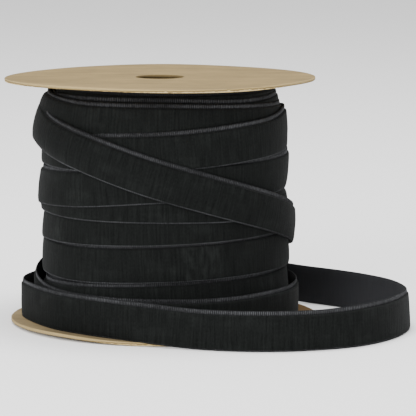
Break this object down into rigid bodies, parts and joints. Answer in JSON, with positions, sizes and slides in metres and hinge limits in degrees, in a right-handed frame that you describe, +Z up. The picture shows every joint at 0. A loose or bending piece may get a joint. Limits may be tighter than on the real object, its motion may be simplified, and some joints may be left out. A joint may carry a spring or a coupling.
{
  "type": "roll of velvet ribbon",
  "caption": "Flanged board spool wound with narrow velvet ribbon, its loose tail carried round the foot and out beside it in a big standing loop.",
  "frame": {"origin": "bottom centre of the part's box, on the surface that the spool stands on", "axes": "+Z up along the spool's axis; +X to the right, towards the big loop; the front, with the crossing turn, faces -Y"},
  "size_m": [0.1968, 0.168, 0.12],
  "materials": {
    "flange_board": "matt grey-brown unbleached board with fine fibres and a paler cut rim",
    "core_board": "matt brown spiral-wound board tube",
    "velvet": "near-black cut-pile velvet with narrow woven grey-black selvedges and a smooth woven back"
  },
  "bodies": {
    "root": {"flange_bottom": "flange_board", "flange_top": "flange_board", "core_tube": "core_board", "wound_ribbon": "velvet", "loose_ribbon": "velvet"}
  },
  "joints": []
}
